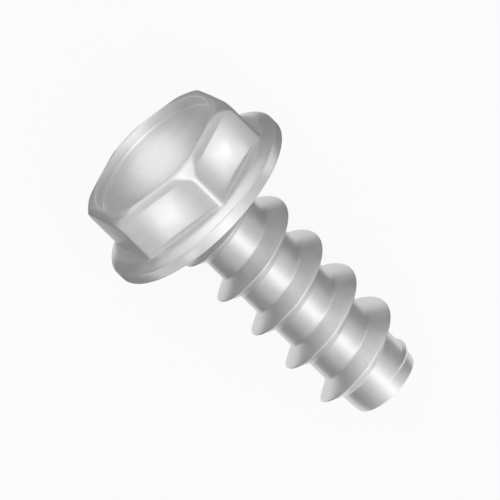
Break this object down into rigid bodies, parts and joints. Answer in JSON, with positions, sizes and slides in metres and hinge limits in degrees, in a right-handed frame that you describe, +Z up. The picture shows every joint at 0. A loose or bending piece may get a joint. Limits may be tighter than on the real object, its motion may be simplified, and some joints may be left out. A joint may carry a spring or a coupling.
{
  "type": "hex washer head self-tapping screw",
  "caption": "Self-tapping screw with a recessed hexagon head on its own washer, a coarse right-hand thread with wide spacing and a blunt end, lying on its side.",
  "frame": {"origin": "centre of the screw's box, on the surface it lies on: the rim of the washer and the crest of the thread near the tip touch that surface", "axes": "+X towards the tip, seen from above; +Z up; the screw's own axis lies in the XZ plane and dips 13.3 degrees below +X"},
  "size_m": [0.0176, 0.0102, 0.0102],
  "materials": {
    "plated_steel": "bright zinc plating, smooth and lightly satin"
  },
  "bodies": {
    "root": {"screw": "plated_steel"}
  },
  "joints": []
}
